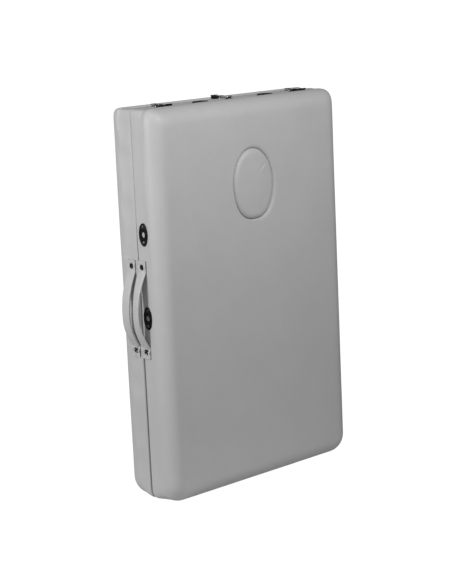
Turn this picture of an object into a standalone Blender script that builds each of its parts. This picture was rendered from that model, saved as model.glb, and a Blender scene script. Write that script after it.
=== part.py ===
"""Portable massage table, folded and standing on its hinge end.

Two padded halves close on each other like a case: pads outwards, undersides
inwards, with the folded legs in between. -Y is the half with the face hole,
-X the long edge with the carrying straps, +Z the head end with its latches.
Metres, +Z up, origin at the middle of the footprint.
"""

import math

import bmesh
import bpy
from mathutils import Matrix, Vector

# ---------------------------------------------------------------- dimensions
WIDTH = 0.600
HEIGHT = 0.930
HALF_DEPTH = 0.085
STRAP_REACH = 0.023
BODY_X = STRAP_REACH / 2

GAP = 0.0003
PAD_INNER = 0.0425
PAD_CORNER = 0.048
PAD_EDGE = 0.038

RAIL_INSET = 0.005
RAIL_THICK = 0.018
RAIL_X = WIDTH / 2 - RAIL_INSET
RAIL_TOP = HEIGHT - RAIL_INSET
RAIL_FOOT = 0.0105
RAIL_MOUTH = 0.0025
RAIL_DEEP = 0.0359
RAIL_CORNER = 0.044
DECK_THIN = 0.006
DECK_DEEP = PAD_INNER - GAP
INNER_X = RAIL_X - RAIL_THICK

HINGE_Z = 0.006
HINGE_PIN = 0.0014
HINGE_BORE = 0.0018
HINGE_KNUCKLE = 0.0035
HINGE_X = 0.270
HINGE_PARTS = 9

HOLE_X, HOLE_Z = 0.0657, 0.0847
BOARD_HOLE_X, BOARD_HOLE_Z = 0.0587, 0.0777
HOLE_HEIGHT = 0.728

LEG_Y = 0.0185
LEG_Z = 0.861
LEG_R = 0.0125
LEG_BORE = 0.0110
LEG_TOP = 0.009
LEG_LONG = 0.400
LEG_X = {"front": 0.245, "rear": 0.205}
AXLE_R = 0.0040
CROSSBAR_AT = 0.250
CROSSBAR_R = 0.0080
STRUT_AT = 0.300
STRUT_LONG = 0.4762
KNOB_AT = 0.360
SLIDER_R = 0.0105
SLIDER_FROM, SLIDER_TO = 0.140, 0.540
FOOT_R = 0.0145
BATTEN_S = 0.520

SOCKET_Y = 0.0255
ARM_SOCKETS_Z = {"upper": 0.642, "lower": 0.446}
CRADLE_X = 0.105

STRAP_SCREWS = (0.565, 0.365)
STRAP_Y = {"front": 0.0145, "rear": 0.0225}
STRAP_WIDE = 0.027
STRAP_THIN = 0.0045

LATCHES = {"left": -0.217, "middle": 0.0, "right": 0.217}

SIDE = {"front": -1.0, "rear": 1.0}

# ---------------------------------------------------------------- the scene
for old in list(bpy.data.objects):
    bpy.data.objects.remove(old, do_unlink=True)

PARTS = bpy.data.collections.new("massage_table")
CUTTERS = bpy.data.collections.new("cutters")
bpy.context.scene.collection.children.link(PARTS)
bpy.context.scene.collection.children.link(CUTTERS)

centre = bpy.data.objects.new("table_centre", None)
centre.location = (BODY_X, 0.0, 0.0)
PARTS.objects.link(centre)


def material(name, colour, roughness, metallic=0.0):
    made = bpy.data.materials.new(name)
    made.use_nodes = True
    shader = made.node_tree.nodes["Principled BSDF"]
    shader.inputs["Base Color"].default_value = (*colour, 1.0)
    shader.inputs["Roughness"].default_value = roughness
    shader.inputs["Metallic"].default_value = metallic
    return made


VINYL = ("vinyl", (0.36, 0.36, 0.37), 0.45, 0.0)
STRAP_VINYL = ("strap_vinyl", (0.33, 0.33, 0.34), 0.45, 0.0)
WOOD = ("beech", (0.60, 0.44, 0.28), 0.55, 0.0)
PLY = ("plywood", (0.62, 0.50, 0.34), 0.60, 0.0)
ALLOY = ("aluminium_tube", (0.62, 0.62, 0.64), 0.35, 1.0)
STEEL = ("zinc_steel", (0.55, 0.55, 0.56), 0.30, 1.0)
BLACK = ("black_plastic", (0.02, 0.02, 0.02), 0.45, 0.0)
BLACK_STEEL = ("black_steel", (0.03, 0.03, 0.03), 0.40, 0.6)
RUBBER = ("rubber", (0.03, 0.03, 0.03), 0.80, 0.0)


def finish(bm, name, look):
    """Turns the working mesh into a named object standing on the centre."""
    mesh = bpy.data.meshes.new(name)
    bmesh.ops.recalc_face_normals(bm, faces=bm.faces)
    bm.to_mesh(mesh)
    bm.free()
    made = bpy.data.objects.new(name, mesh)
    if look is None:
        CUTTERS.objects.link(made)
        made.hide_render = True
        made.display_type = "WIRE"
    else:
        PARTS.objects.link(made)
        mesh.materials.append(material(name + "_" + look[0], *look[1:]))
        mesh.shade_smooth()
        mesh.set_sharp_from_angle(angle=math.radians(35))
    made.parent = centre
    return made


def box(name, look, low, high):
    bm = bmesh.new()
    low, high = Vector(low), Vector(high)
    size = high - low
    place = Matrix.Translation((low + high) / 2) @ Matrix.Diagonal((*size, 1.0))
    bmesh.ops.create_cube(bm, size=1.0, matrix=place)
    return finish(bm, name, look)


TURNS = {
    "x": Matrix.Rotation(math.pi / 2, 4, "Y"),
    "y": Matrix.Rotation(math.pi / 2, 4, "X"),
    "z": Matrix.Identity(4),
}


def rod(name, look, axis, start, length, radius, sides=16, squeeze=(1.0, 1.0, 1.0)):
    """A round bar whose lower end is at start, along the named axis."""
    bm = bmesh.new()
    step = Vector({"x": (1, 0, 0), "y": (0, 1, 0), "z": (0, 0, 1)}[axis])
    place = Matrix.Translation(Vector(start) + step * length / 2)
    place = place @ Matrix.Diagonal((*squeeze, 1.0)) @ TURNS[axis]
    bmesh.ops.create_cone(
        bm,
        cap_ends=True,
        segments=sides,
        radius1=radius,
        radius2=radius,
        depth=length,
        matrix=place,
    )
    return finish(bm, name, look)


def rounded_slab(name, look, low, high, corner, steps=6):
    """A slab in the XZ plane with its four upright-to-Y corners rounded."""
    bm = bmesh.new()
    low, high = Vector(low), Vector(high)
    size = high - low
    place = Matrix.Translation((low + high) / 2) @ Matrix.Diagonal((*size, 1.0))
    bmesh.ops.create_cube(bm, size=1.0, matrix=place)
    along = [e for e in bm.edges if abs(e.verts[0].co.y - e.verts[1].co.y) > 1e-6]
    bmesh.ops.bevel(
        bm,
        geom=along,
        offset=corner,
        segments=steps,
        profile=0.5,
        affect="EDGES",
        clamp_overlap=True,
    )
    return finish(bm, name, look)


def outline(name, look, points, half_thick, turn, at=(0.0, 0.0, 0.0)):
    """A flat 2D curve given thickness, made a mesh and turned into place."""
    curve = bpy.data.curves.new(name + "_outline", "CURVE")
    curve.dimensions = "2D"
    curve.fill_mode = "BOTH"
    curve.extrude = half_thick
    spline = curve.splines.new("POLY")
    spline.points.add(len(points) - 1)
    for knot, (u, v) in zip(spline.points, points):
        knot.co = (u, v, 0.0, 1.0)
    spline.use_cyclic_u = True
    guide = bpy.data.objects.new(name + "_guide", curve)
    CUTTERS.objects.link(guide)
    bpy.context.view_layer.update()
    graph = bpy.context.evaluated_depsgraph_get()
    mesh = bpy.data.meshes.new_from_object(guide.evaluated_get(graph))
    bpy.data.objects.remove(guide, do_unlink=True)
    bm = bmesh.new()
    bm.from_mesh(mesh)
    bpy.data.meshes.remove(mesh)
    bmesh.ops.remove_doubles(bm, verts=bm.verts, dist=0.000001)
    bmesh.ops.transform(bm, matrix=Matrix.Translation(at) @ turn, verts=bm.verts)
    return finish(bm, name, look)


UPRIGHT = Matrix(((1, 0, 0, 0), (0, 0, -1, 0), (0, 1, 0, 0), (0, 0, 0, 1)))
SIDEWAYS = Matrix(((0, 0, 1, 0), (1, 0, 0, 0), (0, 1, 0, 0), (0, 0, 0, 1)))


def combine(piece, tool, operation):
    change = piece.modifiers.new(operation.lower() + "_" + tool.name, "BOOLEAN")
    change.operation = operation
    change.object = tool
    change.solver = "EXACT"


def cut(piece, *tools):
    for tool in tools:
        combine(piece, tool, "DIFFERENCE")


def join(piece, *tools):
    for tool in tools:
        combine(piece, tool, "UNION")


def origin_at(piece, point):
    """Moves the object's origin without moving its shape."""
    shift = Vector(point)
    piece.data.transform(Matrix.Translation(-shift))
    piece.location = shift


def spread(side, near, far):
    """Low and high Y of a layer between two distances from the seam."""
    a, b = side * near, side * far
    return min(a, b), max(a, b)


# ------------------------------------------------------------ one padded half
def pad(half):
    side = SIDE[half]
    bm = bmesh.new()
    low, high = spread(side, PAD_INNER, HALF_DEPTH)
    size = (WIDTH, high - low, HEIGHT)
    middle = (0.0, (low + high) / 2, HEIGHT / 2)
    place = Matrix.Translation(middle) @ Matrix.Diagonal((*size, 1.0))
    bmesh.ops.create_cube(bm, size=1.0, matrix=place)
    along = [e for e in bm.edges if abs(e.verts[0].co.y - e.verts[1].co.y) > 1e-6]
    bmesh.ops.bevel(
        bm,
        geom=along,
        offset=PAD_CORNER,
        segments=7,
        profile=0.5,
        affect="EDGES",
        clamp_overlap=True,
    )
    face_y = side * HALF_DEPTH
    rim = [e for e in bm.edges if all(abs(v.co.y - face_y) < 1e-6 for v in e.verts)]
    bmesh.ops.bevel(
        bm,
        geom=rim,
        offset=PAD_EDGE,
        segments=6,
        profile=0.5,
        affect="EDGES",
        clamp_overlap=True,
    )
    return finish(bm, half + "_pad", VINYL)


def frame(half):
    side = SIDE[half]
    low, high = spread(side, RAIL_MOUTH, RAIL_DEEP)
    piece = rounded_slab(
        half + "_frame",
        WOOD,
        (-RAIL_X, low, RAIL_FOOT),
        (RAIL_X, high, RAIL_TOP),
        RAIL_CORNER,
    )
    well = box(
        half + "_frame_well",
        None,
        (-INNER_X, low - 0.01, RAIL_FOOT + RAIL_THICK),
        (INNER_X, high + 0.01, RAIL_TOP - RAIL_THICK),
    )
    cut(piece, well)
    return piece


def deck(half):
    side = SIDE[half]
    low, high = spread(side, DECK_DEEP - DECK_THIN, DECK_DEEP)
    return rounded_slab(
        half + "_deck",
        PLY,
        (-RAIL_X, low, RAIL_FOOT),
        (RAIL_X, high, RAIL_TOP),
        RAIL_CORNER,
    )


pads = {half: pad(half) for half in SIDE}
frames = {half: frame(half) for half in SIDE}
decks = {half: deck(half) for half in SIDE}

# Face hole through the front pad and its deck, and the plug that fills it.
hole = rod(
    "face_hole",
    None,
    "y",
    (0.0, -HALF_DEPTH - 0.01, HOLE_HEIGHT),
    0.010 + HALF_DEPTH - PAD_INNER + 0.0001,
    1.0,
    48,
    (HOLE_X, 1.0, HOLE_Z),
)
cut(pads["front"], hole)
board_hole = rod(
    "board_hole",
    None,
    "y",
    (0.0, -0.060, HOLE_HEIGHT),
    0.040,
    1.0,
    48,
    (BOARD_HOLE_X, 1.0, BOARD_HOLE_Z),
)
cut(decks["front"], board_hole)

PLUG_FIT = 0.0007
plug_bm = bmesh.new()
plug_long = HALF_DEPTH - PAD_INNER
plug_place = (
    Matrix.Translation((0.0, -PAD_INNER - plug_long / 2, HOLE_HEIGHT))
    @ Matrix.Diagonal((HOLE_X - PLUG_FIT, 1.0, HOLE_Z - PLUG_FIT, 1.0))
    @ TURNS["y"]
)
bmesh.ops.create_cone(
    plug_bm,
    cap_ends=True,
    segments=48,
    radius1=1.0,
    radius2=1.0,
    depth=plug_long,
    matrix=plug_place,
)
plug_rim = [
    e for e in plug_bm.edges if all(v.co.y < -HALF_DEPTH + 1e-5 for v in e.verts)
]
bmesh.ops.bevel(
    plug_bm,
    geom=plug_rim,
    offset=0.009,
    segments=3,
    profile=0.5,
    affect="EDGES",
    clamp_overlap=True,
)
plug_pad = finish(plug_bm, "face_plug_pad", VINYL)
origin_at(plug_pad, (0.0, -PAD_INNER, HOLE_HEIGHT))
plug_board = rod(
    "face_plug_board",
    PLY,
    "y",
    (0.0, -DECK_DEEP, HOLE_HEIGHT),
    DECK_THIN,
    1.0,
    48,
    (BOARD_HOLE_X - PLUG_FIT, 1.0, BOARD_HOLE_Z - PLUG_FIT),
)
origin_at(plug_board, (0.0, -DECK_DEEP, HOLE_HEIGHT))


# --------------------------------------------------- piano hinge at the foot
def hinge_leaf(half):
    """A leaf on the rail's mating face, with every second knuckle."""
    side = SIDE[half]
    low, high = spread(side, 0.0007, 0.0022)
    leaf = box(
        half + "_hinge_leaf",
        BLACK_STEEL,
        (-HINGE_X, low, HINGE_Z + 0.0042),
        (HINGE_X, high, 0.0270),
    )
    one = 2 * HINGE_X / HINGE_PARTS
    first = 0 if half == "front" else 1
    for k in range(first, HINGE_PARTS, 2):
        x = -HINGE_X + k * one + GAP
        long = one - 2 * GAP
        web = box(
            f"{half}_web_{k}",
            None,
            (x, low, HINGE_Z + 0.0022),
            (x + long, high, HINGE_Z + 0.0060),
        )
        knuckle = rod(
            f"{half}_knuckle_{k}", None, "x", (x, 0.0, HINGE_Z), long, HINGE_KNUCKLE, 14
        )
        join(leaf, web, knuckle)
    bore = rod(
        half + "_hinge_bore",
        None,
        "x",
        (-HINGE_X - 0.01, 0.0, HINGE_Z),
        2 * HINGE_X + 0.02,
        HINGE_BORE,
        12,
    )
    cut(leaf, bore)
    origin_at(leaf, (0.0, 0.0, HINGE_Z))


for half in SIDE:
    hinge_leaf(half)
hinge_pin = rod(
    "hinge_pin",
    STEEL,
    "x",
    (-HINGE_X - 0.001, 0.0, HINGE_Z),
    2 * HINGE_X + 0.002,
    HINGE_PIN,
    12,
)
origin_at(hinge_pin, (0.0, 0.0, HINGE_Z))


# ------------------------------------------------------------ accessory sockets
def arm_socket(name, hand, height):
    """A black oval flange on the side rail with its barrel and two screws."""
    face = RAIL_X + GAP
    thick = 0.0037
    start = hand * face if hand > 0 else -face - thick
    socket = rod(
        name,
        BLACK,
        "x",
        (start, -SOCKET_Y, height),
        thick,
        1.0,
        32,
        (1.0, 0.0150, 0.0270),
    )
    inner = 0.0245
    barrel_start = face - inner if hand > 0 else -face - 0.001
    barrel = rod(
        name + "_barrel",
        None,
        "x",
        (barrel_start, -SOCKET_Y, height),
        inner + 0.001,
        0.0090,
        20,
    )
    join(socket, barrel)
    for k in (-1, 1):
        out = face + thick - 0.001
        screw = rod(
            f"{name}_screw_{k}",
            None,
            "x",
            (out if hand > 0 else -out - 0.0015, -SOCKET_Y, height + k * 0.0195),
            0.0015,
            0.0037,
            10,
        )
        join(socket, screw)
    bore = rod(
        name + "_bore", None, "x", (hand * face - 0.05, -SOCKET_Y, height), 0.1, 0.0060, 16
    )
    cut(socket, bore)
    seat = rod(
        name + "_seat", None, "x", (hand * face - 0.04, -SOCKET_Y, height), 0.08, 0.0094, 20
    )
    cut(frames["front"], seat)
    return socket


for level, height in ARM_SOCKETS_Z.items():
    arm_socket(f"{level}_left_arm_socket", -1, height)
    arm_socket(f"{level}_right_arm_socket", 1, height)


def cradle_socket(name, x):
    """A round black flange on the head rail with its barrel."""
    face = RAIL_TOP + GAP
    socket = rod(name, BLACK, "z", (x, -SOCKET_Y, face), 0.0037, 0.0165, 28)
    barrel = rod(
        name + "_barrel", None, "z", (x, -SOCKET_Y, face - 0.0245), 0.0255, 0.0090, 20
    )
    join(socket, barrel)
    bore = rod(name + "_bore", None, "z", (x, -SOCKET_Y, face - 0.05), 0.1, 0.0060, 16)
    cut(socket, bore)
    seat = rod(name + "_seat", None, "z", (x, -SOCKET_Y, face - 0.04), 0.08, 0.0094, 20)
    cut(frames["front"], seat)
    return socket


cradle_socket("left_cradle_socket", -CRADLE_X)
cradle_socket("right_cradle_socket", CRADLE_X)


# ---------------------------------------------------------- carrying straps
def strap(half):
    """A flat strap screwed down at both ends and bowed out between them."""
    y = SIDE[half] * STRAP_Y[half]
    mid = (STRAP_SCREWS[0] + STRAP_SCREWS[1]) / 2
    rise = WIDTH / 2 + STRAP_REACH - STRAP_THIN - RAIL_X - GAP
    inner, outer = [], []
    for k in range(19):
        t = -1.0 + 2.0 * k / 18
        inner.append((rise * (1 - abs(t) ** 2.4), t * 0.086))
        outer.append((STRAP_THIN + rise * (1 - abs(t) ** 2.4), t * 0.0895))
    points = [(0.0, -0.117)] + inner + [(0.0, 0.117)]
    points += [(STRAP_THIN, 0.117)] + outer[::-1] + [(STRAP_THIN, -0.117)]
    placed = [(-RAIL_X - GAP - u, mid + v) for u, v in points]
    piece = outline(
        half + "_handle_strap",
        STRAP_VINYL,
        placed,
        STRAP_WIDE / 2,
        UPRIGHT,
        (0.0, y, 0.0),
    )
    for name, z in zip(("upper", "lower"), STRAP_SCREWS):
        face = RAIL_X + GAP + STRAP_THIN
        drill = rod(
            f"{half}_{name}_strap_hole", None, "x", (-face - 0.01, y, z), 0.02, 0.0028, 10
        )
        cut(piece, drill)
        pilot = rod(
            f"{half}_{name}_pilot", None, "x", (-RAIL_X - 0.01, y, z), 0.0225, 0.0024, 10
        )
        cut(frames[half], pilot)
        screw = rod(
            f"{half}_{name}_strap_screw",
            BLACK_STEEL,
            "x",
            (-face - GAP - 0.0022, y, z),
            0.0022,
            0.0070,
            16,
        )
        shank = rod(
            f"{half}_{name}_shank",
            None,
            "x",
            (-face - GAP - 0.001, y, z),
            0.0158,
            0.0020,
            10,
        )
        join(screw, shank)


for half in SIDE:
    strap(half)


# --------------------------------------------------------------- draw latches
def latch(where, x, side):
    """Base and lever on one half, bail over the seam, keeper on the other."""
    z = RAIL_TOP + GAP
    pin_y, pin_z = side * 0.009, z + 0.0035
    hang_y, hang_z = side * 0.017, z + 0.0063
    low, high = spread(side, 0.0060, 0.0320)
    base = box(
        where + "_latch_base",
        BLACK_STEEL,
        (x - 0.0125, low, z),
        (x + 0.0125, high, z + 0.0012),
    )
    low, high = spread(side, 0.0060, 0.0200)
    for k in (-1, 1):
        x0, x1 = sorted((x + k * 0.0105, x + k * 0.0125))
        cheek = box(f"{where}_cheek_{k}", None, (x0, low, z), (x1, high, z + 0.0070))
        join(base, cheek)
    pin = rod(
        where + "_latch_pin", None, "x", (x - 0.0115, pin_y, pin_z), 0.023, 0.0012, 10
    )
    join(base, pin)

    points = []
    for k in range(9):
        turn = math.radians(-90 + 180 * k / 8)
        points.append((-0.0020 * math.cos(turn), 0.0020 * math.sin(turn)))
    points += [(0.0015, 0.0042), (0.0245, 0.0042), (0.0250, 0.0030), (0.0235, -0.0020)]
    lever = outline(
        where + "_latch_lever",
        BLACK,
        [(side * u, v) for u, v in points],
        0.0080,
        SIDEWAYS,
        (x, pin_y, pin_z),
    )
    pin_hole = rod(
        where + "_pin_hole", None, "x", (x - 0.02, pin_y, pin_z), 0.04, 0.0015, 10
    )
    hang_hole = rod(
        where + "_hang_hole", None, "x", (x - 0.02, hang_y, hang_z), 0.04, 0.0013, 10
    )
    cut(lever, pin_hole, hang_hole)

    bail = rod(
        where + "_latch_bail", STEEL, "x", (x - 0.0095, hang_y, hang_z), 0.019, 0.0010, 10
    )
    low, high = spread(1.0, side * 0.0180, -side * 0.0142)
    for k in (-1, 1):
        x0, x1 = sorted((x + k * 0.0083, x + k * 0.0100))
        arm = box(
            f"{where}_bail_arm_{k}",
            None,
            (x0, low, hang_z - 0.0009),
            (x1, high, hang_z + 0.0009),
        )
        join(bail, arm)
    low, high = spread(-side, 0.0125, 0.0142)
    bar = box(
        where + "_bail_bar",
        None,
        (x - 0.0099, low, hang_z - 0.0018),
        (x + 0.0099, high, hang_z + 0.0008),
    )
    join(bail, bar)

    low, high = spread(-side, 0.0050, 0.0235)
    keeper = box(
        where + "_latch_keeper",
        BLACK_STEEL,
        (x - 0.0125, low, z),
        (x + 0.0125, high, z + 0.0012),
    )
    low, high = spread(-side, 0.0085, 0.0121)
    post = box(
        where + "_keeper_post",
        None,
        (x - 0.0065, low, z + 0.0006),
        (x + 0.0065, high, z + 0.0068),
    )
    join(keeper, post)
    origin_at(lever, (x, pin_y, pin_z))
    origin_at(bail, (x, hang_y, hang_z))


for where, x in LATCHES.items():
    latch(where, x, 1.0 if where == "middle" else -1.0)


# ----------------------------------------------------- folding legs and struts
def leg_set(half):
    """A tube on each side with a crossbar, hung on one axle under the head."""
    side = SIDE[half]
    y = side * LEG_Y
    x = LEG_X[half]
    top, foot = LEG_Z + LEG_TOP, LEG_Z - LEG_LONG
    legs = rod(half + "_leg_frame", ALLOY, "z", (-x, y, foot), top - foot, LEG_R, 18)
    other = rod(half + "_leg_other", None, "z", (x, y, foot), top - foot, LEG_R, 18)
    bar = rod(
        half + "_crossbar",
        None,
        "x",
        (-x, y, LEG_Z - CROSSBAR_AT),
        2 * x,
        CROSSBAR_R,
        14,
    )
    join(legs, bar, other)
    strut_x = x - LEG_R - 0.0035
    for hand in (-1, 1):
        inner = strut_x - 0.0065
        start = inner if hand > 0 else -inner - 0.0165
        stud = rod(
            f"{half}_strut_stud_{hand}",
            None,
            "x",
            (start, y, LEG_Z - STRUT_AT),
            0.0165,
            0.0030,
            10,
        )
        head_start = inner if hand > 0 else -inner - 0.0020
        head = rod(
            f"{half}_strut_head_{hand}",
            None,
            "x",
            (head_start, y, LEG_Z - STRUT_AT),
            0.0020,
            0.0055,
            12,
        )
        join(legs, stud, head)
    for hand in (-1, 1):
        bore = rod(
            f"{half}_leg_bore_{hand}",
            None,
            "z",
            (hand * x, y, foot - 0.01),
            top - foot + 0.02,
            LEG_BORE,
            18,
        )
        cut(legs, bore)
    axle_hole = rod(
        half + "_axle_hole", None, "x", (-0.30, y, LEG_Z), 0.60, AXLE_R + GAP, 12
    )
    cut(legs, axle_hole)
    origin_at(legs, (0.0, y, LEG_Z))

    axle = rod(half + "_leg_axle", STEEL, "x", (-0.286, y, LEG_Z), 0.572, AXLE_R, 12)
    axle_seat = rod(
        half + "_axle_seat", None, "x", (-0.2865, y, LEG_Z), 0.573, AXLE_R + GAP, 12
    )
    cut(frames[half], axle_seat)

    for hand, word in ((-1, "left"), (1, "right")):
        slider = rod(
            f"{half}_{word}_leg_slider",
            ALLOY,
            "z",
            (hand * x, y, LEG_Z - SLIDER_TO),
            SLIDER_TO - SLIDER_FROM,
            SLIDER_R,
            18,
        )
        foot_piece = rod(
            f"{half}_{word}_foot",
            RUBBER,
            "z",
            (hand * x, y, LEG_Z - SLIDER_TO - 0.005),
            0.030,
            FOOT_R,
            18,
        )
        cup = rod(
            f"{half}_{word}_foot_cup",
            None,
            "z",
            (hand * x, y, LEG_Z - SLIDER_TO - GAP),
            0.060,
            SLIDER_R + GAP,
            18,
        )
        cut(foot_piece, cup)
        stem_x = x + LEG_R + 0.0004
        knob = rod(
            f"{half}_{word}_height_knob",
            BLACK,
            "x",
            (stem_x + 0.004 if hand > 0 else -stem_x - 0.013, y, LEG_Z - KNOB_AT),
            0.009,
            0.0105,
            12,
        )
        stem = rod(
            f"{half}_{word}_knob_stem",
            None,
            "x",
            (stem_x if hand > 0 else -stem_x - 0.006, y, LEG_Z - KNOB_AT),
            0.006,
            0.0035,
            10,
        )
        join(knob, stem)
        origin_at(knob, (hand * stem_x, y, LEG_Z - KNOB_AT))

        thin = 0.004
        bar_start = strut_x - thin if hand > 0 else -strut_x
        strut = box(
            f"{half}_{word}_strut",
            ALLOY,
            (bar_start, y - 0.006, LEG_Z - STRUT_AT - STRUT_LONG - 0.006),
            (bar_start + thin, y + 0.006, LEG_Z - STRUT_AT + 0.007),
        )
        eye = rod(
            f"{half}_{word}_strut_eye",
            None,
            "x",
            (bar_start - 0.01, y, LEG_Z - STRUT_AT),
            0.024,
            0.0033,
            10,
        )
        cut(strut, eye)
        toe_in = strut_x - thin - 0.009
        toe = rod(
            f"{half}_{word}_strut_toe",
            None,
            "x",
            (toe_in if hand > 0 else -strut_x + 0.002, y, LEG_Z - STRUT_AT - STRUT_LONG),
            0.011,
            0.0035,
            10,
        )
        join(strut, toe)
        origin_at(strut, (hand * strut_x, y, LEG_Z - STRUT_AT))

    reach = strut_x - thin - 0.0012
    low, high = spread(side, LEG_Y + 0.0040, DECK_DEEP - DECK_THIN - GAP)
    z = HINGE_Z + BATTEN_S
    box(half + "_cross_batten", WOOD, (-reach, low, z - 0.018), (reach, high, z + 0.018))


for half in SIDE:
    leg_set(half)
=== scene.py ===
"""Portable massage table, shut like a case and standing on its hinge end.

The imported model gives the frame; this file gives it vinyl covers, the face plug,
carrying straps, sockets, latches and the finish of every part, in metres.
"""

import math

import bmesh
import bpy
from mathutils import Matrix, Vector, noise


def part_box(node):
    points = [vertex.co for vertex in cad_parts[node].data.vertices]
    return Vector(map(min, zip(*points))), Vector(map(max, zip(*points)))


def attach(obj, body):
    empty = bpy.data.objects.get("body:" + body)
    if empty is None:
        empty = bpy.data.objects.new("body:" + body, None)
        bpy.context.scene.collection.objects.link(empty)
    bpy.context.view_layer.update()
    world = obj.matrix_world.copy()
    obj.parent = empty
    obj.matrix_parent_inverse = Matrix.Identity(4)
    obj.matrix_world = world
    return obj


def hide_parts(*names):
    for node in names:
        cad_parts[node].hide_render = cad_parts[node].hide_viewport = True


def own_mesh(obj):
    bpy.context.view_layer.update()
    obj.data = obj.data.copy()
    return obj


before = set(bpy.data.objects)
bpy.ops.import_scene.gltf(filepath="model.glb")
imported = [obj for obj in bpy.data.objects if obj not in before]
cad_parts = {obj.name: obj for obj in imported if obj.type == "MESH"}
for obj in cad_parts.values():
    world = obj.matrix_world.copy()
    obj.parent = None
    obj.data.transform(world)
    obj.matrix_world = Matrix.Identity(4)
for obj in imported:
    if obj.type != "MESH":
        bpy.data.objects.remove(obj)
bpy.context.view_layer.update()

# ------------------------------------------------------------------ camera
# A long lens a little above the middle of the table, looking at the corner
# between the front pad and the edge with the straps.
pad_low, pad_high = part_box("front_pad")
MIDDLE_X = (pad_low.x + pad_high.x) / 2
MIDDLE_Z = (pad_low.z + pad_high.z) / 2
HALF_WIDTH = (pad_high.x - pad_low.x) / 2
HEIGHT = pad_high.z
HALF_DEEP = -pad_low.y
MIDDLE = Vector((MIDDLE_X, 0, MIDDLE_Z))

AZIMUTH = math.radians(-42.63)
ELEVATION = math.radians(11.0)
ROLL = math.radians(-2.636)
DISTANCE = 4.0265

to_lens = Vector(
    (
        math.sin(AZIMUTH) * math.cos(ELEVATION),
        -math.cos(AZIMUTH) * math.cos(ELEVATION),
        math.sin(ELEVATION),
    )
)
level = (-to_lens).cross(Vector((0, 0, 1))).normalized()
upright = level.cross(-to_lens)
right = math.cos(ROLL) * level + math.sin(ROLL) * upright
above = -math.sin(ROLL) * level + math.cos(ROLL) * upright
camera_data = bpy.data.cameras.new("camera")
camera_data.lens = 101.71
camera_data.sensor_width = 36.0
camera_data.shift_x = -0.0150
camera_data.shift_y = -0.0064
camera = bpy.data.objects.new("camera", camera_data)
bpy.context.scene.collection.objects.link(camera)
turn = Matrix((right, above, to_lens)).transposed().to_4x4()
camera.matrix_world = Matrix.Translation(MIDDLE + to_lens * DISTANCE) @ turn
bpy.context.scene.camera = camera

# ------------------------------------------------------------ light and floor
# A white studio: soft light from everywhere, stronger from the strap side, one
# soft box low on that side and a larger one high in front, and a small pale
# floor that fades out round the foot.
bpy.context.scene.view_settings.view_transform = "Standard"
ROOM_LIGHT = 0.30
ROOM_SIDE = 0.5
LIGHTER_SIDE = (-0.92, -0.39, 0.0)
BACKDROP = 1.05
world = bpy.data.worlds.new("studio")
bpy.context.scene.world = world
world.use_nodes = True
sky = world.node_tree
sky.nodes.clear()
out = sky.nodes.new("ShaderNodeOutputWorld")
either = sky.nodes.new("ShaderNodeMixShader")
ray = sky.nodes.new("ShaderNodeLightPath")
soft = sky.nodes.new("ShaderNodeBackground")
white = sky.nodes.new("ShaderNodeBackground")
white.inputs["Color"].default_value = (1, 1, 1, 1)
white.inputs["Strength"].default_value = BACKDROP
soft.inputs["Color"].default_value = (1, 1, 1, 1)
direction = sky.nodes.new("ShaderNodeTexCoord")
facing = sky.nodes.new("ShaderNodeVectorMath")
facing.operation = "DOT_PRODUCT"
facing.inputs[1].default_value = LIGHTER_SIDE
strength = sky.nodes.new("ShaderNodeMath")
strength.operation = "MULTIPLY_ADD"
strength.inputs[1].default_value = ROOM_LIGHT * ROOM_SIDE
strength.inputs[2].default_value = ROOM_LIGHT
sky.links.new(direction.outputs["Generated"], facing.inputs[0])
sky.links.new(facing.outputs["Value"], strength.inputs[0])
sky.links.new(strength.outputs[0], soft.inputs["Strength"])
sky.links.new(ray.outputs["Is Camera Ray"], either.inputs[0])
sky.links.new(soft.outputs[0], either.inputs[1])
sky.links.new(white.outputs[0], either.inputs[2])
sky.links.new(either.outputs[0], out.inputs[0])


def soft_box(name, azimuth, elevation, distance, size, power):
    """A square area light aimed at the middle of the table."""
    a, e = math.radians(azimuth), math.radians(elevation)
    away = Vector((math.sin(a) * math.cos(e), -math.cos(a) * math.cos(e), math.sin(e)))
    data = bpy.data.lights.new(name, "AREA")
    data.size = size
    data.energy = power
    lamp = bpy.data.objects.new(name, data)
    bpy.context.scene.collection.objects.link(lamp)
    lamp.location = MIDDLE + away * distance
    lamp.rotation_euler = away.to_track_quat("Z", "Y").to_euler()


soft_box("side_light", -101, 15, 2.05, 0.4, 23.5)
soft_box("front_light", -12, 42, 1.65, 0.8, 17.2)

FLOOR_RADIUS = 0.62
FLOOR_SOLID = 0.20
FLOOR_COVER = 0.75
FLOOR_DROP = 0.0006
bpy.ops.object.select_all(action="DESELECT")
bpy.ops.mesh.primitive_circle_add(
    vertices=96, radius=FLOOR_RADIUS, fill_type="NGON", location=(MIDDLE_X, 0, -FLOOR_DROP)
)
floor = bpy.context.object
floor.name = "floor"
bpy.ops.object.transform_apply(location=True)
floor_look = bpy.data.materials.new("floor_white")
floor_look.use_nodes = True
tree = floor_look.node_tree
tree.nodes.clear()
place = tree.nodes.new("ShaderNodeTexCoord")
centred = tree.nodes.new("ShaderNodeMapping")
centred.inputs["Location"].default_value = (-MIDDLE_X, 0, 0)
reach = tree.nodes.new("ShaderNodeVectorMath")
reach.operation = "LENGTH"
fade = tree.nodes.new("ShaderNodeMapRange")
fade.interpolation_type = "SMOOTHSTEP"
fade.inputs["From Min"].default_value = FLOOR_SOLID
fade.inputs["From Max"].default_value = FLOOR_RADIUS
fade.inputs["To Min"].default_value = FLOOR_COVER
fade.inputs["To Max"].default_value = 0.0
paper = tree.nodes.new("ShaderNodeBsdfDiffuse")
paper.inputs["Color"].default_value = (0.9, 0.9, 0.9, 1)
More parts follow.
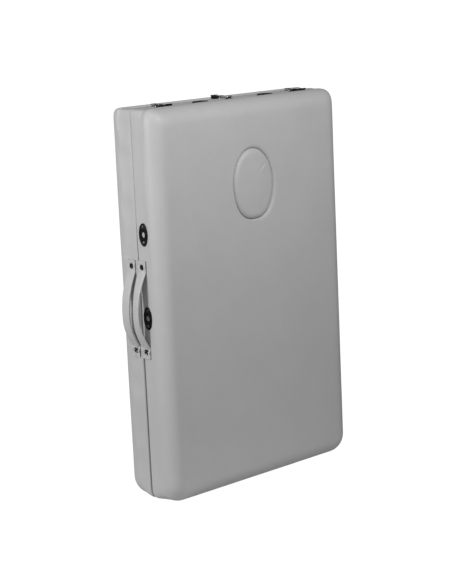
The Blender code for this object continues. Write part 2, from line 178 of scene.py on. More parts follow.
glow = tree.nodes.new("ShaderNodeEmission")
glow.inputs["Strength"].default_value = 1.0
seen = tree.nodes.new("ShaderNodeLightPath")
lit = tree.nodes.new("ShaderNodeMixShader")
clear = tree.nodes.new("ShaderNodeBsdfTransparent")
faded = tree.nodes.new("ShaderNodeMixShader")
output = tree.nodes.new("ShaderNodeOutputMaterial")
tree.links.new(place.outputs["Object"], centred.inputs["Vector"])
tree.links.new(centred.outputs[0], reach.inputs[0])
tree.links.new(reach.outputs["Value"], fade.inputs["Value"])
tree.links.new(seen.outputs["Is Camera Ray"], lit.inputs[0])
tree.links.new(paper.outputs[0], lit.inputs[1])
tree.links.new(glow.outputs[0], lit.inputs[2])
tree.links.new(fade.outputs[0], faded.inputs[0])
tree.links.new(clear.outputs[0], faded.inputs[1])
tree.links.new(lit.outputs[0], faded.inputs[2])
tree.links.new(faded.outputs[0], output.inputs[0])
floor.data.materials.append(floor_look)


# ------------------------------------------------------------- vinyl covers
# Each half is foam on a plywood deck, wrapped in one skin of embossed vinyl
# that is pulled over the rails and tucked in at the seam between the halves.
def new_group(name, inputs, outputs):
    """An empty shader group with its in and out nodes."""
    group = bpy.data.node_groups.new(name, "ShaderNodeTree")
    for label, kind, value in inputs:
        made = group.interface.new_socket(label, in_out="INPUT", socket_type=kind)
        if value is not None:
            made.default_value = value
    for label, kind in outputs:
        group.interface.new_socket(label, in_out="OUTPUT", socket_type=kind)
    return group, group.nodes.new("NodeGroupInput"), group.nodes.new("NodeGroupOutput")


def textured(group, kind, vector, **values):
    """A texture node in a group, reading the given vector socket."""
    node = group.nodes.new(kind)
    group.links.new(vector, node.inputs["Vector"])
    for key, value in values.items():
        node.inputs[key].default_value = value
    return node


def arithmetic(group, operation, a, b):
    """A Math node; a and b are sockets or plain values."""
    node = group.nodes.new("ShaderNodeMath")
    node.operation = operation
    for index, value in enumerate((a, b)):
        if hasattr(value, "is_linked"):
            group.links.new(value, node.inputs[index])
        else:
            node.inputs[index].default_value = value
    return node.outputs[0]


def ranged(group, value, low, high, to_low, to_high):
    """Carries a value from one range into another."""
    node = group.nodes.new("ShaderNodeMapRange")
    group.links.new(value, node.inputs["Value"])
    node.inputs["From Min"].default_value = low
    node.inputs["From Max"].default_value = high
    node.inputs["To Min"].default_value = to_low
    node.inputs["To Max"].default_value = to_high
    return node.outputs[0]


def mixed(group, factor, a, b, blend="MIX"):
    """Mixes two colours, given as sockets or plain values."""
    node = group.nodes.new("ShaderNodeMix")
    node.data_type = "RGBA"
    node.blend_type = blend
    for index, value in ((0, factor), (6, a), (7, b)):
        if hasattr(value, "is_linked"):
            group.links.new(value, node.inputs[index])
        else:
            node.inputs[index].default_value = value
    return node.outputs[2]


FLOAT, COLOUR, VECTOR = "NodeSocketFloat", "NodeSocketColor", "NodeSocketVector"
SURFACE = [("Color", COLOUR), ("Roughness", FLOAT), ("Height", FLOAT)]


def vinyl_skin_group():
    """Embossed vinyl: pebbled grain, faint mottling and soft polished patches."""
    group, inside, outside = new_group(
        "vinyl_skin",
        [("Vector", VECTOR, None), ("Tint", COLOUR, None), ("Shine", FLOAT, 0.5)],
        SURFACE,
    )
    at = inside.outputs["Vector"]
    pebbles = textured(group, "ShaderNodeTexVoronoi", at, Scale=620.0)
    pebbles.feature = "SMOOTH_F1"
    fine = textured(group, "ShaderNodeTexNoise", at, Scale=1500.0, Detail=2.0)
    cloud = textured(group, "ShaderNodeTexNoise", at, Scale=9.0, Detail=4.0)
    rub = textured(group, "ShaderNodeTexNoise", at, Scale=38.0, Detail=6.0, Roughness=0.6)
    grain = arithmetic(group, "MULTIPLY", pebbles.outputs["Distance"], 0.8)
    height = arithmetic(group, "ADD", grain, arithmetic(group, "MULTIPLY", fine.outputs[0], 0.25))
    group.links.new(height, outside.inputs["Height"])
    shade = arithmetic(
        group,
        "ADD",
        ranged(group, cloud.outputs[0], 0.3, 0.7, 0.975, 1.015),
        ranged(group, rub.outputs[0], 0.3, 0.7, -0.012, 0.012),
    )
    pits = ranged(group, pebbles.outputs["Distance"], 0.0, 0.7, 1.02, 0.95)
    lightness = arithmetic(group, "MULTIPLY", shade, pits)
    grey = group.nodes.new("ShaderNodeCombineColor")
    for channel in grey.inputs:
        group.links.new(lightness, channel)
    colour = mixed(group, 1.0, inside.outputs["Tint"], grey.outputs[0], "MULTIPLY")
    group.links.new(colour, outside.inputs["Color"])
    worn = ranged(group, rub.outputs[0], 0.35, 0.65, -0.04, 0.04)
    rough = arithmetic(group, "ADD", inside.outputs["Shine"], worn)
    group.links.new(rough, outside.inputs["Roughness"])
    return group


def hard_finish_group():
    """Moulded plastic, paint or bare metal: speckle, streaks and handling marks."""
    group, inside, outside = new_group(
        "hard_finish",
        [
            ("Vector", VECTOR, None),
            ("Tint", COLOUR, None),
            ("Worn Tint", COLOUR, None),
            ("Shine", FLOAT, 0.4),
            ("Speckle", FLOAT, 900.0),
        ],
        SURFACE,
    )
    at = inside.outputs["Vector"]
    speck = textured(group, "ShaderNodeTexNoise", at, Detail=2.0)
    group.links.new(inside.outputs["Speckle"], speck.inputs["Scale"])
    hand = textured(group, "ShaderNodeTexNoise", at, Scale=60.0, Detail=5.0, Roughness=0.65)
    marks = ranged(group, hand.outputs[0], 0.52, 0.78, 0.0, 0.5)
    colour = mixed(group, marks, inside.outputs["Tint"], inside.outputs["Worn Tint"])
    group.links.new(colour, outside.inputs["Color"])
    uneven = ranged(group, hand.outputs[0], 0.3, 0.7, -0.07, 0.07)
    rough = arithmetic(group, "ADD", inside.outputs["Shine"], uneven)
    group.links.new(rough, outside.inputs["Roughness"])
    group.links.new(speck.outputs[0], outside.inputs["Height"])
    return group


def timber_group():
    """Sawn timber: long fibres and growth bands."""
    group, inside, outside = new_group(
        "timber",
        [
            ("Vector", VECTOR, None),
            ("Tint", COLOUR, None),
            ("Worn Tint", COLOUR, None),
            ("Shine", FLOAT, 0.5),
        ],
        SURFACE,
    )
    at = inside.outputs["Vector"]
    fibre = textured(group, "ShaderNodeTexNoise", at, Scale=160.0, Detail=5.0, Roughness=0.6)
    band = textured(group, "ShaderNodeTexNoise", at, Scale=26.0, Detail=3.0)
    both = arithmetic(
        group,
        "ADD",
        arithmetic(group, "MULTIPLY", fibre.outputs[0], 0.55),
        arithmetic(group, "MULTIPLY", band.outputs[0], 0.45),
    )
    colour = mixed(
        group,
        ranged(group, both, 0.35, 0.65, 0.0, 1.0),
        inside.outputs["Tint"],
        inside.outputs["Worn Tint"],
    )
    group.links.new(colour, outside.inputs["Color"])
    uneven = ranged(group, fibre.outputs[0], 0.3, 0.7, -0.06, 0.08)
    rough = arithmetic(group, "ADD", inside.outputs["Shine"], uneven)
    group.links.new(rough, outside.inputs["Roughness"])
    group.links.new(fibre.outputs[0], outside.inputs["Height"])
    return group


GROUPS = {
    "vinyl": vinyl_skin_group(),
    "hard": hard_finish_group(),
    "timber": timber_group(),
}


def surface(name, kind, tint, shine, metallic=0.0, bump=0.3, depth=0.0003, **more):
    """A material that reads one of the shared groups in Object coordinates."""
    look = bpy.data.materials.new(name)
    look.use_nodes = True
    nodes, links = look.node_tree.nodes, look.node_tree.links
    shader = nodes["Principled BSDF"]
    shader.inputs["Metallic"].default_value = metallic
    place = nodes.new("ShaderNodeTexCoord")
    mapping = nodes.new("ShaderNodeMapping")
    mapping.inputs["Scale"].default_value = more.get("stretch", (1, 1, 1))
    effect = nodes.new("ShaderNodeGroup")
    effect.node_tree = GROUPS[kind]
    effect.inputs["Tint"].default_value = (*tint, 1)
    effect.inputs["Shine"].default_value = shine
    if "Worn Tint" in effect.inputs:
        effect.inputs["Worn Tint"].default_value = (*more.get("worn", tint), 1)
    if "Speckle" in effect.inputs:
        effect.inputs["Speckle"].default_value = more.get("speckle", 900.0)
    raise_it = nodes.new("ShaderNodeBump")
    raise_it.inputs["Strength"].default_value = bump
    raise_it.inputs["Distance"].default_value = depth
    links.new(place.outputs["Object"], mapping.inputs["Vector"])
    links.new(mapping.outputs[0], effect.inputs["Vector"])
    links.new(effect.outputs["Color"], shader.inputs["Base Color"])
    links.new(effect.outputs["Roughness"], shader.inputs["Roughness"])
    links.new(effect.outputs["Height"], raise_it.inputs["Height"])
    links.new(raise_it.outputs[0], shader.inputs["Normal"])
    shader.inputs["Coat Weight"].default_value = more.get("coat", 0.0)
    shader.inputs["Specular IOR Level"].default_value = more.get("specular", 0.5)
    return look


VINYL_GREY = (0.400, 0.400, 0.402)
vinyl = surface("grey_vinyl", "vinyl", VINYL_GREY, 0.52, bump=0.35, depth=0.0002, specular=0.4)

CORNER = 0.048
EDGE = 0.040
FACE_Z = sum(v.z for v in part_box("face_plug_pad")) / 2
HOLE_X = 0.0657
HOLE_Z = 0.0847
PATCH_X = 0.0880
PATCH_Z = 0.1080
CELL = 0.012


def key(point):
    """A place rounded so that it can be looked up."""
    return (round(point[0], 6), round(point[1], 6), round(point[2], 6))


def start_mesh(name):
    """Names the primitive that was just added and opens it for editing."""
    piece = bpy.context.object
    piece.name = name
    piece.data.name = name
    bpy.ops.object.mode_set(mode="EDIT")
    return piece


def grow(piece, before, after):
    """Extrudes the loop that lies on the points before, and moves it to after."""
    body = bmesh.from_edit_mesh(piece.data)
    wanted = {key(p): i for i, p in enumerate(before)}
    for face in body.faces:
        face.select_set(False)
    for edge in body.edges:
        edge.select_set(False)
    for vert in body.verts:
        vert.select_set(False)
    count = len(before)
    for edge in body.edges:
        a, b = (wanted.get(key(v.co)) for v in edge.verts)
        if a is None or b is None:
            continue
        if abs(a - b) in (1, count - 1):
            edge.select_set(True)
    bmesh.update_edit_mesh(piece.data)
    bpy.ops.mesh.extrude_edges_move()
    body = bmesh.from_edit_mesh(piece.data)
    for vert in body.verts:
        if vert.select:
            vert.co = after[wanted[key(vert.co)]]
    bmesh.update_edit_mesh(piece.data)


def end_mesh(piece, angle=None):
    """Closes editing, with smooth shading."""
    bpy.ops.object.mode_set(mode="OBJECT")
    bpy.ops.object.select_all(action="DESELECT")
    piece.select_set(True)
    bpy.context.view_layer.objects.active = piece
    if angle is None:
        bpy.ops.object.shade_smooth()
    else:
        bpy.ops.object.shade_smooth_by_angle(angle=math.radians(angle))
    return piece


def stations(low, high):
    """Even steps of about one cell between two places."""
    count = max(1, round((high - low) / CELL))
    return [low + (high - low) * k / count for k in range(count)]


ARC_STEPS = 11
ARC = [EDGE * (1 - math.cos(math.pi / 2 * k / ARC_STEPS)) for k in range(ARC_STEPS + 1)]


def lid_lines(half, breaks):
    """Grid lines across one pad: dense round the edge, even in the middle."""
    rim = [-half + d for d in ARC] + [-half + CORNER]
    inner = []
    stops = [-half + CORNER, *breaks, half - CORNER]
    for a, b in zip(stops, stops[1:]):
        inner += stations(a, b)
    return rim[:-1] + inner + [-v for v in reversed(rim)]


ROUND_CORNER, SOFT_CORNER, SQUARE_CORNER = 2.0, 4.2, 10.0


def rounded(u, v, half_u, half_v, side):
    """Maps a square-cornered grid on to one with round corners; also how far in.

    The front pad's top corners are soft; the rear's are pulled nearly square."""
    pu, pv = abs(u) - (half_u - CORNER), abs(v) - (half_v - CORNER)
    inset = min(half_u - abs(u), half_v - abs(v))
    if pu <= 0 or pv <= 0:
        return u, v, inset
    power = ROUND_CORNER
    if v > 0:
        tight = SQUARE_CORNER if side > 0 else SOFT_CORNER
        power += (tight - ROUND_CORNER) * max(0.0, 1 - inset / EDGE)
    reach_out = max(pu, pv)
    size = (pu**power + pv**power) ** (1 / power)
    nu = math.copysign(half_u - CORNER + reach_out * pu / size, u)
    nv = math.copysign(half_v - CORNER + reach_out * pv / size, v)
    return nu, nv, inset


SEAM_CORNER = 4.2
PAD_EDGE = 0.043
CORNER_RUN = 0.036


def squared(x, z, away, side):
    """Corners tighten from the pad to the seam; the rear's top ones are tight."""
    cx = max(-HALF_WIDTH + CORNER, min(HALF_WIDTH - CORNER, x))
    cz = max(CORNER, min(HEIGHT - CORNER, z))
    px, pz = abs(x - cx), abs(z - cz)
    top = z > HEIGHT / 2
    if px < 1e-6 or pz < 1e-6 or (top and side > 0):
        return x, z
    t = min(1.0, max(0.0, (PAD_EDGE - away) / CORNER_RUN))
    start, stop = (SOFT_CORNER, SQUARE_CORNER) if top else (ROUND_CORNER, SEAM_CORNER)
    power = start + (stop - start) * t
    size = (px**power + pz**power) ** (1 / power)
    x = cx + math.copysign(CORNER * px / size, x)
    return x, cz + math.copysign(CORNER * pz / size, z - cz)


SLOW_RISE = 0.0007
QUICK_RISE = 0.00022
CROWN = 0.0022
FACE_SETBACK = 0.0008


def unevenness(x, z, seed):
    """Foam under tight vinyl is never quite flat: long, shallow undulations."""
    slow = noise.noise(Vector((x * 7, z * 5, seed)))
    quick = noise.noise(Vector((x * 22, z * 17, seed + 4)))
    return SLOW_RISE * slow + QUICK_RISE * quick


def face_height(x, z, seed):
    """How far the pad's face stands off the seam at a place on it."""
    u, v = x / HALF_WIDTH, (z - HEIGHT / 2) / (HEIGHT / 2)
    crown = CROWN * (1 - abs(u) ** 2.5) * (1 - abs(v) ** 2.5)
    return HALF_DEEP - FACE_SETBACK + crown + unevenness(x, z, seed)


def lid_point(u, v, side, seed):
    """A point of the pad's face, or of the rounding at its edge."""
    x, w, inset = rounded(u, v, HALF_WIDTH, HEIGHT / 2, side)
    z = w + HEIGHT / 2
    deep = face_height(x, z, seed)
    if inset < EDGE:
        deep -= EDGE - math.sqrt(max(0.0, EDGE**2 - (EDGE - inset) ** 2))
    return Vector((MIDDLE_X + x, side * deep, z))


WALL = (
    # distance from the seam, how far inside the pad's outline
    (0.0430, 0.0001),
    (0.0412, 0.0006),
    (0.0398, 0.0018),
    (0.0386, 0.0034),
    (0.0376, 0.0042),
    (0.0364, 0.0040),
    (0.0345, 0.0036),
    (0.0310, 0.0034),
    (0.0270, 0.0033),
    (0.0220, 0.0032),
    (0.0170, 0.0032),
    (0.0120, 0.0033),
    (0.0080, 0.0035),
    (0.0052, 0.0038),
    (0.0033, 0.0044),
    (0.0021, 0.0054),
    (0.0015, 0.0070),
    (0.0013, 0.0100),
    (0.0013, 0.0160),
)
SIDE_INSET = 0.0012
DRAWN_FROM, DRAWN_RUN = 0.045, 0.022
LIP_FROM, LIP_INSIDE = 0.0085, 0.0035
SWELL, SWELL_FROM = 0.0008, 0.004
SHUT_FROM, SHUT_RUN = 0.48, 0.20
SEAM_LIP = 0.006
SEAM_SHUT = 0.00118
SEAM_GAPE = 0.0006
SLACK, SLACK_HEIGHT, SLACK_REACH = 0.0040, 0.455, 0.085


def slack(z):
    """Loose vinyl on the rear half beside the straps: a few soft waves."""
    bulge = SLACK * math.exp(-(((z - SLACK_HEIGHT) / SLACK_REACH) ** 2))
    waves = 0.0009 * math.sin(z * 61.0) + 0.0006 * math.sin(z * 103.0 + 1.2)
    return bulge + waves


def up_to_one(value):
    """Holds a share between 0 and 1."""
    return min(1.0, max(0.0, value))


def wall_point(x, z, out_x, out_z, away, inside, side, seed):
    """A point of the wrapped edge; out is the outline's normal there."""
    on_side = max(out_x**2, out_z**2 if out_z < 0 else 0.0)
    drawn_in = 0.5 * (1 - math.cos(math.pi * up_to_one((DRAWN_FROM - away) / DRAWN_RUN)))
    plain = SIDE_INSET * drawn_in
    if away < LIP_FROM:
        plain += inside - LIP_INSIDE
    inside = inside + (plain - inside) * on_side
    swell = 0.0
    if away > SWELL_FROM:
        along = noise.noise(Vector((x * 6, z * 6, seed + away * 20)))
        swell = SWELL * along * min(1.0, (away - SWELL_FROM) / 0.01)
        if side > 0 and out_x < -0.5:
            swell += slack(z) * on_side * min(1.0, (away - SWELL_FROM) / 0.02)
    x, z = squared(x, z, away, side)
    shut = up_to_one((z - SHUT_FROM) / SHUT_RUN)
    if away < SEAM_LIP:
        inside += (min(inside, SIDE_INSET + 0.0006) - inside) * shut * min(1.0, away / 0.002)
        away -= (SEAM_SHUT + SEAM_GAPE) * shut - SEAM_GAPE
    return Vector(
        (
            MIDDLE_X + x - out_x * (inside - swell),
            side * away,
            z - out_z * (inside - swell),
        )
    )


def outline_normal(x, z):
    """Which way the pad's outline faces at a point on it."""
    cx = max(-HALF_WIDTH + CORNER, min(HALF_WIDTH - CORNER, x))
    cz = max(CORNER, min(HEIGHT - CORNER, z))
    way = Vector((x - cx, z - cz))
    if way.length < 1e-6:
        return 0.0, 0.0
    way.normalize()
    return way.x, way.y


SKIN = 0.0011


def cover(name, side, seed, holed):
    """One half's vinyl skin, from the middle of its face round to the seam."""
    across = lid_lines(HALF_WIDTH, [-PATCH_X, PATCH_X])
    patch_low = FACE_Z - PATCH_Z - HEIGHT / 2
    patch_high = patch_low + 2 * PATCH_Z
    upward = lid_lines(HEIGHT / 2, [patch_low, patch_high])
    nx, nz = len(across), len(upward)
    bpy.ops.object.select_all(action="DESELECT")
    bpy.ops.mesh.primitive_grid_add(x_subdivisions=nx - 1, y_subdivisions=nz - 1, size=2)
    piece = start_mesh(name)
    body = bmesh.from_edit_mesh(piece.data)
    edge_loop = {}
    patch = []
    for vert in body.verts:
        i = round((vert.co.x + 1) / 2 * (nx - 1))
        j = round((vert.co.y + 1) / 2 * (nz - 1))
        u, v = across[i], upward[j]
        vert.co = lid_point(u, v, side, seed)
        edge_loop[i, j] = vert.co.copy()
        in_patch = abs(u) < PATCH_X - 1e-6 and patch_low + 1e-6 < v < patch_high - 1e-6
        if holed and in_patch:
            patch.append(vert)
    i0, i1 = across.index(-PATCH_X), across.index(PATCH_X)
    j0, j1 = (
        min(range(nz), key=lambda j: abs(upward[j] - edge)) for edge in (patch_low, patch_high)
    )

    def walk(a0, a1, b0, b1):
        """The grid's points round a rectangle of it."""
        line = [(i, b0) for i in range(a0, a1)]
        line += [(a1, j) for j in range(b0, b1)]
        line += [(i, b1) for i in range(a1, a0, -1)]
        line += [(a0, j) for j in range(b1, b0, -1)]
        return [edge_loop[p] for p in line]

    rim = walk(0, nx - 1, 0, nz - 1)
    if holed:
        bmesh.ops.delete(body, geom=patch, context="VERTS")
        bmesh.update_edit_mesh(piece.data)
        hole_rings(piece, walk(i0, i1, j0, j1), side, seed)
    last = rim
    normals = [outline_normal(p.x - MIDDLE_X, p.z) for p in rim]
    for away, inside in WALL:
        ring = [
            wall_point(p.x - MIDDLE_X, p.z, n[0], n[1], away, inside, side, seed)
            for p, n in zip(rim, normals)
        ]
        grow(piece, last, ring)
        last = ring
    bpy.ops.mesh.select_all(action="SELECT")
    bpy.ops.mesh.normals_make_consistent(inside=False)
    body = bmesh.from_edit_mesh(piece.data)
    top = max(body.faces, key=lambda f: side * f.calc_center_median().y)
    if top.normal.y * side < 0:
        bpy.ops.mesh.flip_normals()
    end_mesh(piece)
    shell = piece.modifiers.new("skin", "SOLIDIFY")
    shell.thickness = SKIN
    shell.offset = -1
    bpy.ops.object.modifier_apply(modifier=shell.name)
    piece.data.materials.append(vinyl)
    return piece


HOLE_LIP = (Vector((0.0042, 0.0050)), Vector((0.0120, 0.0062)))
PLUG_LIP = (Vector((0.0125, 0.0100)), Vector((0.0190, 0.0085)))


def oval_place(angle, wide, tall):
    """A point of the oval, which is a little fuller in its lower half."""
    c, s = math.cos(angle), math.sin(angle)
    power = 2.0 + 0.4 * max(0.0, -s)
    size = (abs(c) ** power + abs(s) ** power) ** (1 / power)
    return wide * c / size - 0.0015 * max(0.0, s), tall * s / size


def slack_side(angle):
    """How far round to its slack side, away from the straps, the plug's rim is."""
    t = 0.5 + 0.5 * math.cos(angle - 0.25)
    return t * t * (3 - 2 * t)


def hole_rings(piece, square, side, seed):
    """Runs the skin from a square patch in to the oval, over its lip and down."""
    last = square
    angles = [
        math.atan2((p.z - FACE_Z) / HOLE_Z, (p.x - MIDDLE_X) / HOLE_X) for p in square
    ]

    def oval(out_share, down_share, deeper=0.0):
        ring = []
        for a in angles:
            wide, deep = HOLE_LIP[0].lerp(HOLE_LIP[1], slack_side(a))
            x, z = oval_place(a, HOLE_X + wide * out_share, HOLE_Z + wide * out_share)
            z += FACE_Z
            down = 0.0002 + deep * down_share + deeper
            ring.append(Vector((MIDDLE_X + x, side * (face_height(x, z, seed) - down), z)))
        return ring

    outer = oval(1.0, 0.0)
    for t in (0.30, 0.55, 0.75, 0.90, 1.0):
        ring = [p.lerp(q, t) for p, q in zip(square, outer)]
        for p in ring:
            swell = face_height(p.x - MIDDLE_X, p.z, seed)
            p.y = side * (swell - 0.0002 * t)
        grow(piece, last, ring)
        last = ring
    for k in range(1, 9):
        turn_by = math.pi / 2 * k / 8
        ring = oval(1 - math.sin(turn_by), 1 - math.cos(turn_by))
        grow(piece, last, ring)
        last = ring
    for deep in (0.005, 0.0150, 0.0250, 0.0340):
        ring = oval(0.0, 1.0, deep)
        grow(piece, last, ring)
        last = ring


front_cover = cover("front_cover", -1, 3.0, True)
rear_cover = cover("rear_cover", 1, 11.0, False)
for piece, node, half in (
    (front_cover, "front_pad", "front_half"),
    (rear_cover, "rear_pad", "rear_half"),
):
    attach(piece, half)
    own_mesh(piece)
    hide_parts(node)

# ---------------------------------------------------------------- face plug
# The face hole's plug: a foam block on a plywood disc in the same vinyl,
# crowned a little and creased where its skin is gathered.
PLUG_SIDES = 96
PLUG_BACK = -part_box("face_plug_pad")[1].y
PLUG_PROUD = 0.0036
PLUG_SUNK = 0.0022
PLUG_MIDDLE = 0.0030
PLUG_CROWN = 0.0012
CREASE_X, CREASE_Z = 0.030, 0.040


def circle_rings(name, rings, cap_first=False, cap_last=False, smooth=None):
    """A piece grown from a circle through a list of rings of points."""
    bpy.ops.object.select_all(action="DESELECT")
    bpy.ops.mesh.primitive_circle_add(vertices=len(rings[0]), radius=1.0)
    piece = start_mesh(name)
    body = bmesh.from_edit_mesh(piece.data)
    body.verts.ensure_lookup_table()
    for vert, point in zip(body.verts, rings[0]):
        vert.co = point
    bmesh.update_edit_mesh(piece.data)
    for before, after in zip(rings, rings[1:]):
        grow(piece, before, after)
    for wanted, ring in ((cap_first, rings[0]), (cap_last, rings[-1])):
        if not wanted:
            continue
        body = bmesh.from_edit_mesh(piece.data)
        places = {key(p) for p in ring}
        for part in (*body.faces, *body.edges, *body.verts):
            part.select_set(False)
        for edge in body.edges:
            if all(key(v.co) in places for v in edge.verts):
                edge.select_set(True)
        bmesh.update_edit_mesh(piece.data)
        bpy.ops.mesh.edge_face_add()
    bpy.ops.mesh.select_all(action="SELECT")
    bpy.ops.mesh.normals_make_consistent(inside=False)
    return end_mesh(piece, smooth)


def plug_ring(share, down_share=None, away=None):
    """One oval ring; share is 1 at the rim, and runs to 0 in the middle."""
    ring = []
    for k in range(PLUG_SIDES):
        a = 2 * math.pi * k / PLUG_SIDES
        wide, deep = PLUG_LIP[0].lerp(PLUG_LIP[1], slack_side(a))
        gap = 0.0006 - 0.0004 * slack_side(a)
        stand = PLUG_PROUD + (PLUG_SUNK - PLUG_PROUD) * slack_side(a)
        if down_share is not None:
            grown = -gap - wide * share
            out = HALF_DEEP + stand - deep * down_share
            x, z = oval_place(a, HOLE_X + grown, HOLE_Z + grown)
        elif away is not None:
            x, z = oval_place(a, (HOLE_X - gap) * share, (HOLE_Z - gap) * share)
            out = away
        else:
            x, z = oval_place(a, (HOLE_X - gap - wide) * share, (HOLE_Z - gap - wide) * share)
            across = (x - CREASE_X) * 0.64 - (z - CREASE_Z) * 0.77
            along = (x - CREASE_X) * 0.77 + (z - CREASE_Z) * 0.64
            fold = -0.0015 * math.exp(-((across / 0.0026) ** 2) - (along / 0.013) ** 2)
            fold += 0.0009 * math.exp(-(((across - 0.005) / 0.003) ** 2) - (along / 0.015) ** 2)
            out = HALF_DEEP + PLUG_MIDDLE + (stand - PLUG_MIDDLE) * share**2
            out += PLUG_CROWN * (1 - share**2)
            out += fold + 0.5 * unevenness(x * 2, z * 2, 21.0) * (1 - share**6)
        ring.append(Vector((MIDDLE_X + x, -out, FACE_Z + z)))
    return ring


plug_rings = [plug_ring(0.88, away=PLUG_BACK), plug_ring(1.0, away=PLUG_BACK + 0.0004)]
plug_rings += [plug_ring(1.0, away=away) for away in (0.050, 0.060, 0.070)]
for k in range(8):
    turn_by = math.pi / 2 * k / 8
    plug_rings.append(plug_ring(1 - math.cos(turn_by), 1 - math.sin(turn_by)))
plug_rings += [plug_ring(1 - k / 24) for k in range(24)]
plug = circle_rings("face_plug_cover", plug_rings, cap_first=True, cap_last=True)
plug.data.materials.append(vinyl)
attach(plug, "face_plug")
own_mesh(plug)
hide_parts("face_plug_pad")


# ---------------------------------------------------------- carrying straps
# Two folded vinyl straps, one to each half, screwed to the rail at both ends
# and standing off it in a bow; their lower ends pucker round the screws.
strap_vinyl = surface(
    "strap_vinyl", "vinyl", VINYL_GREY, 0.50, bump=0.35, depth=0.0002, specular=0.4
)
SKIN_X = HALF_WIDTH - SIDE_INSET
STRAP_WIDE = 0.0275
STRAP_THICK = 0.0042
STRAP_STAND = 0.0245
TAB_LONG = 0.0155
BOW_END = 0.0885
BOW_DROP = 0.012
strap_low, strap_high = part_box("front_handle_strap")
STRAP_MIDDLE = (strap_low.z + strap_high.z) / 2
SCREW_REACH = 0.100
DIMPLE, DIMPLE_REACH = 0.0027, 0.0074
FOLD_UPPER, FOLD_LOWER, FOLD_REACH = 0.0018, 0.0046, 0.0105
STRAP_OUTLINE = [(-1 + k / 10, 1) for k in range(21)]
STRAP_OUTLINE += [(1 - k / 5, -1) for k in range(1, 10)]


def bow_share(along):
    """From 0 where the bow stands furthest out, low down, to 1 at its ends."""
    drop = along + BOW_DROP
    return min(1.0, abs(drop) / (BOW_END + math.copysign(BOW_DROP, drop)))


def strap_line(along):
    """How far the strap's middle stands off the skin at a height along it."""
    t = bow_share(along)
    return STRAP_THICK / 2 + STRAP_STAND * (1 - t**2.2) ** 1.08


def pucker(along, across, stand):
    """Gathers and folds round the strap's screws, deepest at the lower end."""
    push = 0.0
    for end, depth in ((1, FOLD_UPPER), (-1, FOLD_LOWER)):
        dz, dy = along - end * SCREW_REACH, across
        away = math.hypot(dz, dy)
        turn_at = math.atan2(dz, dy)
        push -= DIMPLE * math.exp(-((away / DIMPLE_REACH) ** 6))
        fold = math.cos(4 * turn_at + 0.6 * end) + 0.5 * math.sin(7 * turn_at + end)
        push += depth * fold * (away / 0.010) ** 2 * math.exp(-((away / FOLD_REACH) ** 2))
    return push * stand


def strap(name, y, lean, waist):
    """Rings of a flattened section carried along the bow."""
    stop = SCREW_REACH + TAB_LONG
    count = 140
    heights = [-stop * math.cos(math.pi * k / count) for k in range(count + 1)]
    rings = []
    for number, along in enumerate(heights):
        step = 0.0005
        slope = (strap_line(along + step) - strap_line(along - step)) / (2 * step)
        tilt = math.atan(slope)
        end = min(number, count - number)
        shrink = (0.86, 0.95, 0.985)[end] if end < 3 else 1.0
        in_tab = max(0.0, 1 - max(0.0, SCREW_REACH - 0.012 - abs(along)) / 0.02)
        narrow = waist * (1 - bow_share(along) ** 2)
        width = (STRAP_WIDE - narrow) / 2 * shrink
        thick = STRAP_THICK / 2 * (1 - 0.25 * in_tab) * (0.55 if end == 0 else 1.0)
        ring = []
        for t, face in STRAP_OUTLINE:
            cross = width * math.sin(math.pi / 2 * t)
            lift = face * thick * (1 - abs(t) ** 5) ** 0.5
            if face > 0:
                lift += 0.0005 * (1 - t * t)
            stand = strap_line(along) + lift * math.cos(tilt)
            if face > 0:
                stand += pucker(along, cross, in_tab)
            wobble = 0.0004 * noise.noise(Vector((along * 60, cross * 40, y * 50)))
            z = STRAP_MIDDLE + along - lift * math.sin(tilt)
            shift = lean * (1 - bow_share(along) ** 2)
            x = MIDDLE_X - SKIN_X - max(stand, 0.0001) - wobble * max(face, 0)
            ring.append(Vector((x, y + cross + shift, z)))
        rings.append(ring)
    piece = circle_rings(name, rings, cap_first=True, cap_last=True)
    piece.data.materials.append(strap_vinyl)
    return piece


def turned(name, spot, outward, across, profile, count=48, cap_last=False, smooth=40):
    """A round or oval piece from (radius, radius, height) rings about a spot."""
    spot, outward, across = Vector(spot), Vector(outward), Vector(across)
    third = outward.cross(across)
    rings = []
    for wide, tall, high in profile:
        ring = []
        for k in range(count):
            a = 2 * math.pi * (k + 0.5) / count
            offset = across * (wide * math.cos(a)) + third * (tall * math.sin(a))
            ring.append(spot + offset + outward * high)
        rings.append(ring)
    return circle_rings(name, rings, cap_first=True, cap_last=cap_last, smooth=smooth)


black_steel = surface(
    "black_steel", "hard", (0.006, 0.006, 0.007), 0.34, metallic=0.2, bump=0.1, depth=0.0001,
    worn=(0.030, 0.030, 0.032), specular=0.25,
)
bright_steel = surface(
    "bright_steel", "hard", (0.78, 0.78, 0.79), 0.38, metallic=1.0, bump=0.05,
    worn=(0.45, 0.45, 0.46),
)
burnished_steel = surface(
    "burnished_steel", "hard", (0.13, 0.13, 0.135), 0.30, metallic=1.0, bump=0.1, depth=0.0001,
    worn=(0.06, 0.06, 0.06),
)
CROSS_ARM, CROSS_SLOT = 0.52, 0.17


